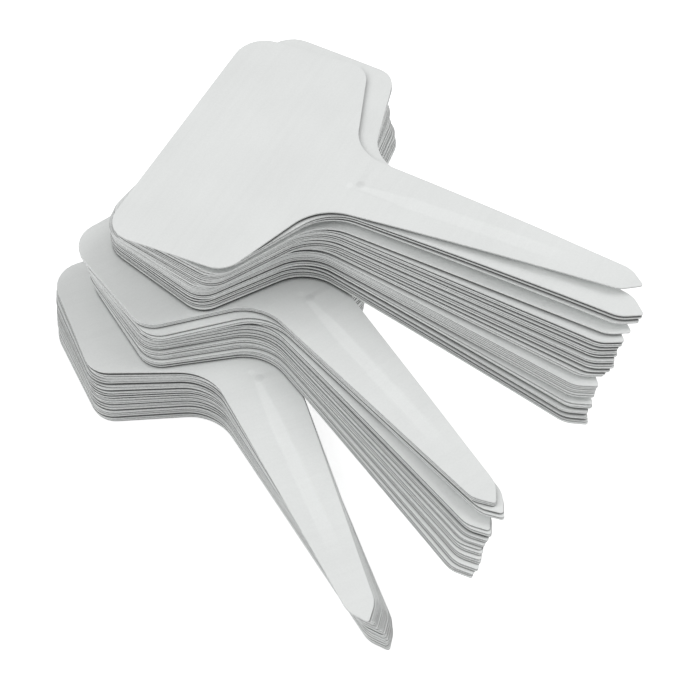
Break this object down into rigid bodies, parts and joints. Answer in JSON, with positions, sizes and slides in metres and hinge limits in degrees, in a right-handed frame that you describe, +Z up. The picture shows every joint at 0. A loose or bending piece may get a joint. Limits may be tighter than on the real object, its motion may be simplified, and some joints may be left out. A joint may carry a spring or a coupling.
{
  "type": "plant label stakes",
  "caption": "Fanned pile of identical white T-shaped plastic plant labels, each with a broad writing head, a tapering ribbed stem and a pointed tip.",
  "frame": {"origin": "centre of the pile's footprint, on the surface that it lies on", "axes": "+Z up, +Y away from the viewer of the picture, +X to the viewer's right; the stems point to -Y and +X"},
  "size_m": [0.1148, 0.1238, 0.0506],
  "materials": {
    "white_sheet": "white plastic sheet, cut to shape, satin"
  },
  "bodies": {
    "lower_stack": {"lower_stack_label_39": "white_sheet", "lower_stack_labels_01_02": "white_sheet", "lower_stack_labels_03_04": "white_sheet", "lower_stack_labels_05_06": "white_sheet", "lower_stack_labels_07_08": "white_sheet", "lower_stack_labels_09_10": "white_sheet", "lower_stack_labels_11_12": "white_sheet", "lower_stack_labels_13_14": "white_sheet", "lower_stack_labels_15_16": "white_sheet", "lower_stack_labels_17_18": "white_sheet", "lower_stack_labels_19_20": "white_sheet", "lower_stack_labels_21_22": "white_sheet", "lower_stack_labels_23_24": "white_sheet", "lower_stack_labels_25_26": "white_sheet", "lower_stack_labels_27_28": "white_sheet", "lower_stack_labels_29_30": "white_sheet", "lower_stack_labels_31_32": "white_sheet", "lower_stack_labels_33_34": "white_sheet", "lower_stack_labels_35_36": "white_sheet", "lower_stack_labels_37_38": "white_sheet"},
    "middle_stack": {"middle_stack_label_19": "white_sheet", "middle_stack_labels_01_02": "white_sheet", "middle_stack_labels_03_04": "white_sheet", "middle_stack_labels_05_06": "white_sheet", "middle_stack_labels_07_08": "white_sheet", "middle_stack_labels_09_10": "white_sheet", "middle_stack_labels_11_12": "white_sheet", "middle_stack_labels_13_14": "white_sheet", "middle_stack_labels_15_16": "white_sheet", "middle_stack_labels_17_18": "white_sheet"},
    "middle_packet": {"middle_packet_label_01": "white_sheet", "middle_packet_label_02": "white_sheet", "middle_packet_label_03": "white_sheet", "middle_packet_label_04": "white_sheet", "middle_packet_label_05": "white_sheet", "middle_packet_label_06": "white_sheet"},
    "upper_stack": {"upper_stack_label_31": "white_sheet", "upper_stack_labels_01_02": "white_sheet", "upper_stack_labels_03_04": "white_sheet", "upper_stack_labels_05_06": "white_sheet", "upper_stack_labels_07_08": "white_sheet", "upper_stack_labels_09_10": "white_sheet", "upper_stack_labels_11_12": "white_sheet", "upper_stack_labels_13_14": "white_sheet", "upper_stack_labels_15_16": "white_sheet", "upper_stack_labels_17_18": "white_sheet", "upper_stack_labels_19_20": "white_sheet", "upper_stack_labels_21_22": "white_sheet", "upper_stack_labels_23_24": "white_sheet", "upper_stack_labels_25_26": "white_sheet", "upper_stack_labels_27_28": "white_sheet", "upper_stack_labels_29_30": "white_sheet"},
    "upper_packet": {"upper_packet_label_01": "white_sheet", "upper_packet_label_02": "white_sheet", "upper_packet_label_03": "white_sheet", "upper_packet_label_04": "white_sheet"},
    "top_label": {"top_label": "white_sheet"}
  },
  "joints": [
    {"name": "middle_stack_swivel", "type": "hinge", "parent": "lower_stack", "child": "middle_stack", "pos_m": [-0.00931, 0.00771, 0.0179], "axis": [0, 0, 1], "range_deg": [-4, 20]},
    {"name": "middle_packet_lift", "type": "slide", "parent": "middle_stack", "child": "middle_packet", "axis": [0, 0, 1], "range_m": [0, 0.05]},
    {"name": "upper_stack_swivel", "type": "hinge", "parent": "middle_packet", "child": "upper_stack", "pos_m": [-0.00456, 0.02156, 0.0286], "axis": [0, 0, 1], "range_deg": [-10, 30]},
    {"name": "upper_packet_lift", "type": "slide", "parent": "upper_stack", "child": "upper_packet", "axis": [0, 0, 1], "range_m": [0, 0.05]},
    {"name": "top_label_lift", "type": "slide", "parent": "upper_packet", "child": "top_label", "axis": [0, 0, 1], "range_m": [0, 0.05]}
  ]
}
